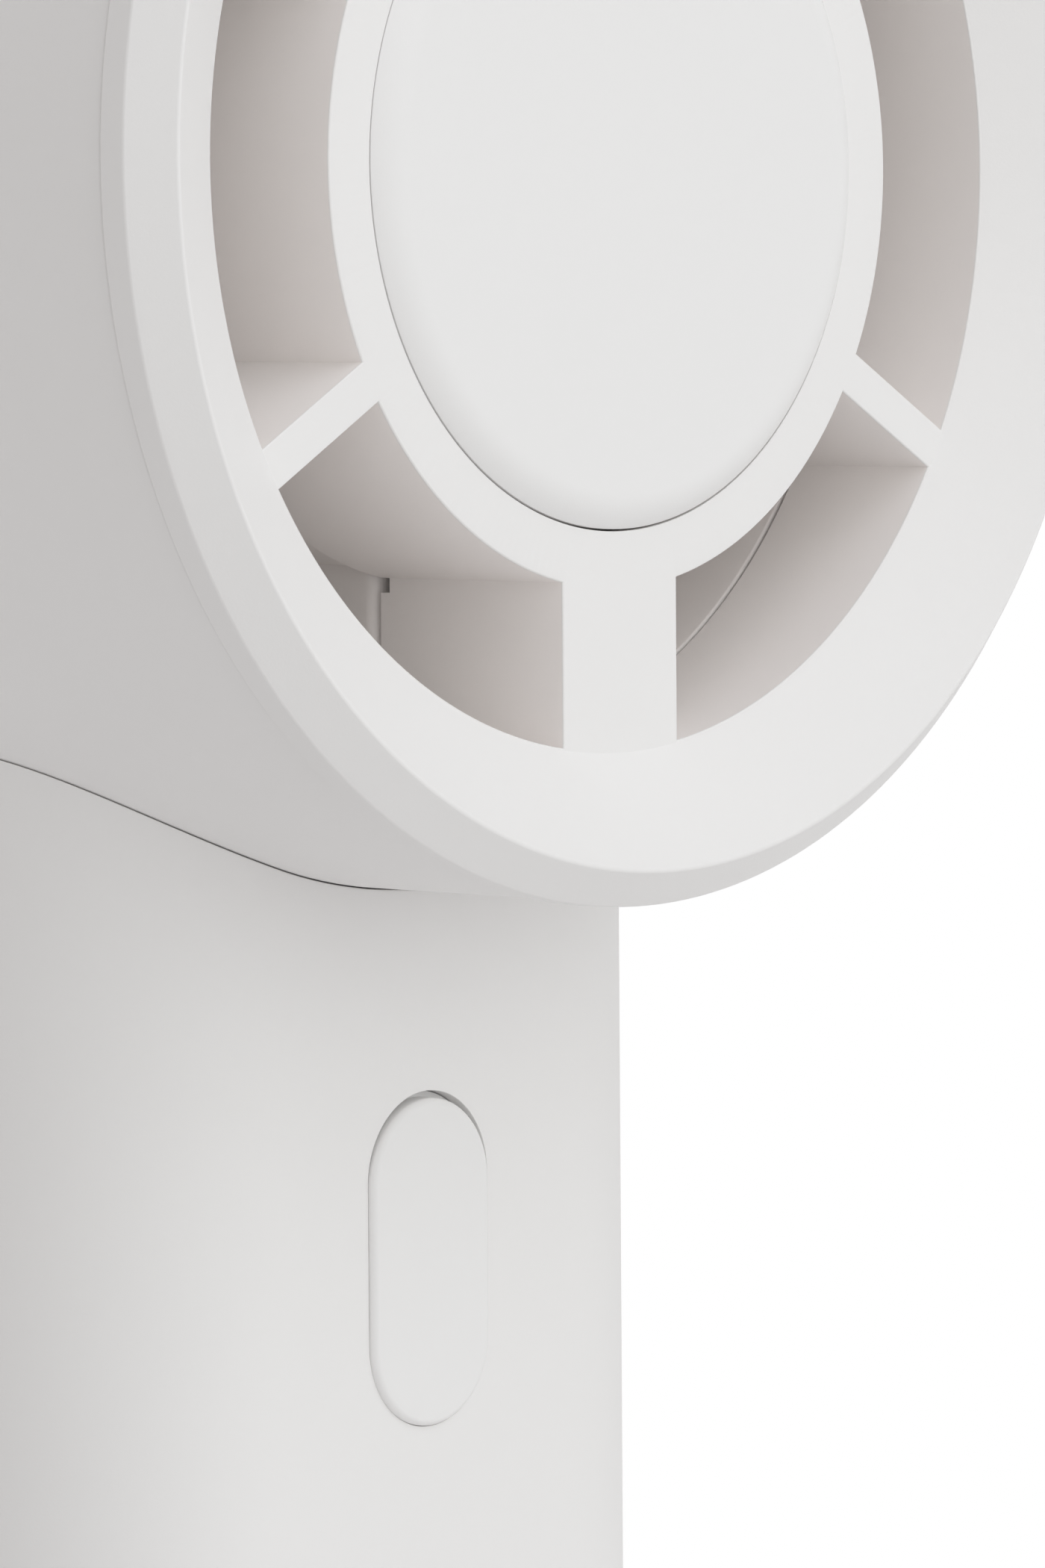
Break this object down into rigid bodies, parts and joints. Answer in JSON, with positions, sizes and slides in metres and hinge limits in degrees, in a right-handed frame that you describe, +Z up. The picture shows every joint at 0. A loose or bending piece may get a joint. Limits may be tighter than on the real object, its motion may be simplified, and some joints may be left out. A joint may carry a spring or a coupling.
{
  "type": "hand fan with power bank",
  "caption": "White hand fan with a round ducted head on an oval handle that holds battery cells, a charging port and a power button",
  "frame": {"origin": "centre of the flat base, on the face that the fan stands on", "axes": "+Z up along the handle to the head, -Y the way the air blows and the button faces, +X to the right of someone who looks along +Y at the front"},
  "size_m": [0.0834, 0.0523, 0.1997],
  "materials": {
    "shell_white": "fine satin",
    "cap_white": "satin",
    "button_white": "satin",
    "duct_white": "satin",
    "steel": "bright",
    "can_steel": "satin",
    "core_steel": "laminated",
    "nickel": "bright",
    "magnet_grey": "matt",
    "copper": "enamelled wire",
    "brass": "turned",
    "board_green": "satin",
    "black_plastic": "matt",
    "frame_grey": "matt",
    "cell_wrap": "shrink sleeve",
    "wire_red": "satin",
    "wire_black": "satin",
    "foam": "matt",
    "pad_grey": "matt",
    "clear_plastic": "clear",
    "led_white": "clear"
  },
  "bodies": {
    "root": {"front_grille": "shell_white", "hub_cap": "cap_white", "head_shell": "shell_white", "fan_duct": "duct_white", "rear_cover": "shell_white", "stator_core": "core_steel", "stator_winding": "copper", "bearing_tube": "brass", "front_bearing": "steel", "rear_bearing": "steel", "motor_board": "board_green", "motor_driver_chip": "black_plastic", "motor_cable": "wire_black", "grille_screw_1": "steel", "grille_screw_2": "steel", "grille_screw_3": "steel", "duct_screw_1": "steel", "duct_screw_2": "steel", "duct_screw_3": "steel", "duct_screw_4": "steel", "neck_screw_left": "steel", "neck_screw_right": "steel", "handle_shell": "shell_white", "switch_body": "steel", "switch_board": "board_green", "main_board": "board_green", "usb_c_shell": "steel", "usb_c_tongue": "black_plastic", "motor_connector": "clear_plastic", "power_inductor": "magnet_grey", "charge_chip": "black_plastic", "controller_chip": "black_plastic", "light_pipe": "clear_plastic", "indicator_led_1": "led_white", "indicator_led_2": "led_white", "indicator_led_3": "led_white", "indicator_led_4": "led_white", "cell_frame": "frame_grey", "battery_cell_left": "cell_wrap", "battery_cell_right": "cell_wrap", "top_strip": "nickel", "bottom_strip": "nickel", "positive_lead": "wire_red", "negative_lead": "wire_black", "foam_pad_front": "foam", "foam_pad_rear": "foam", "base_cap": "shell_white", "base_screw_left": "steel", "base_screw_right": "steel", "base_pad": "pad_grey"},
    "rotor": {"impeller": "duct_white", "motor_shaft": "steel", "shaft_clip": "steel", "rotor_can": "can_steel", "magnet_ring": "magnet_grey"},
    "button": {"power_button": "button_white", "switch_plunger": "black_plastic"}
  },
  "joints": [
    {"name": "impeller_spin", "type": "hinge", "parent": "root", "child": "rotor", "pos_m": [0, 0, 0.158], "axis": [0, 1, 0], "continuous": true},
    {"name": "button_press", "type": "slide", "parent": "root", "child": "button", "axis": [0, 1, 0], "range_m": [0, 0.0005], "stiffness_N_per_m": 400}
  ]
}
